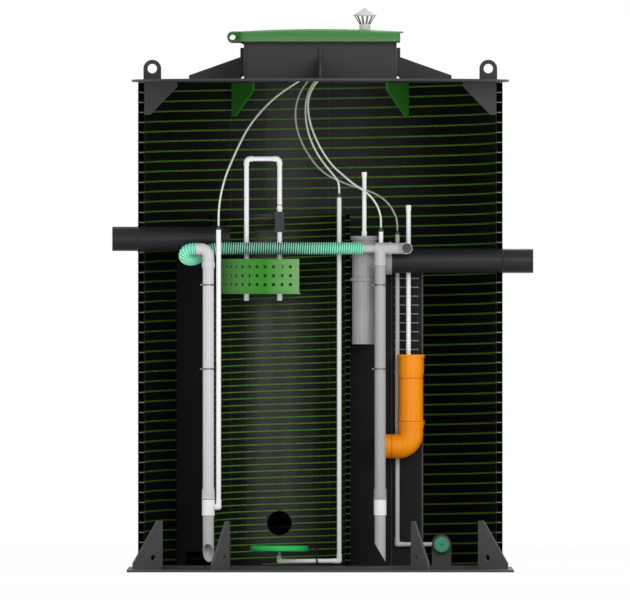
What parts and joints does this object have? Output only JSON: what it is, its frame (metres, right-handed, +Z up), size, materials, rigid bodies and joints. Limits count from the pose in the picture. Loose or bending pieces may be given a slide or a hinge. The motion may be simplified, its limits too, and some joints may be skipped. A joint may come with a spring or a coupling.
{
  "type": "packaged sewage treatment plant",
  "caption": "Round buried sewage treatment tank shown cut open at the front, with inner cylinder, airlift pipes, basket, diffusers and a hinged square lid.",
  "frame": {"origin": "centre of the base plate's underside", "axes": "+Z up, +X to the right seen from the open side, -Y towards the viewer of the open side"},
  "size_m": [1.894, 1.732, 2.532],
  "materials": {
    "plate_grey": "dark grey polypropylene plate",
    "wall_black": "near-black wound profile",
    "lid_green": "moulded green plastic",
    "bracket_green": "dark green plate",
    "pipe_black": "black pipe, smooth",
    "pipe_white": "white pipe, smooth",
    "pipe_grey": "grey pipe, smooth",
    "pipe_orange": "orange drain pipe, smooth",
    "hose_mint": "mint corrugated hose",
    "air_hose": "soft pale air hose",
    "fitting_teal": "dark teal fitting",
    "basket_green": "green sheet, perforated",
    "disc_green": "bright green membrane",
    "diffuser_teal": "teal membrane tube",
    "vent_grey": "light grey moulding",
    "panel_black": "black plate",
    "clamp_steel": "stainless steel",
    "strip_grey": "pale grey strip"
  },
  "bodies": {
    "tank": {"air_hose_1": "air_hose", "air_hose_2": "air_hose", "air_hose_3": "air_hose", "air_hose_4": "air_hose", "air_manifold": "pipe_grey", "base_plate": "plate_grey", "basket": "basket_green", "basket_handle": "pipe_white", "comb_strips": "strip_grey", "corrugated_hose": "hose_mint", "disc_diffuser": "disc_green", "disc_diffuser_pipe": "pipe_white", "feed_clip": "panel_black", "foot_gussets": "plate_grey", "handle_block": "plate_grey", "hinge_lugs": "plate_grey", "hinge_pin": "clamp_steel", "hose_fittings": "fitting_teal", "inlet_pipe": "pipe_black", "inner_wall_1": "wall_black", "inner_wall_2": "wall_black", "inner_wall_3": "wall_black", "left_elbow": "pipe_grey", "left_partition": "panel_black", "left_riser": "pipe_grey", "lifting_lugs": "plate_grey", "lug_gussets": "plate_grey", "neck": "plate_grey", "neck_gussets": "plate_grey", "orange_pipe": "pipe_orange", "orange_rod": "pipe_white", "outlet_pipe": "pipe_black", "outlet_tee": "pipe_grey", "panel_side_wall": "panel_black", "pipe_clamps": "clamp_steel", "right_elbow": "pipe_grey", "right_panel": "panel_black", "right_riser": "pipe_grey", "right_tee": "pipe_grey", "riser_air_pipes": "pipe_white", "riser_couplings": "pipe_white", "riser_feet": "pipe_grey", "tank_floor": "plate_grey", "tank_wall_1": "wall_black", "tank_wall_2": "wall_black", "tank_wall_3": "wall_black", "tank_wall_4": "wall_black", "tank_wall_5": "wall_black", "tee_rod": "pipe_white", "top_brackets": "bracket_green", "top_plate": "plate_grey", "tube_brackets": "plate_grey", "tube_diffuser": "diffuser_teal", "tube_diffuser_pipe": "pipe_grey"},
    "lid": {"lid": "lid_green", "lock_tab": "clamp_steel", "vent_tube": "vent_grey", "vent_head": "vent_grey"}
  },
  "joints": [
    {"name": "lid_hinge", "type": "hinge", "parent": "tank", "child": "lid", "pos_m": [-0.3947, 0, 2.4], "axis": [0, -1, 0], "range_deg": [0, 100]}
  ]
}
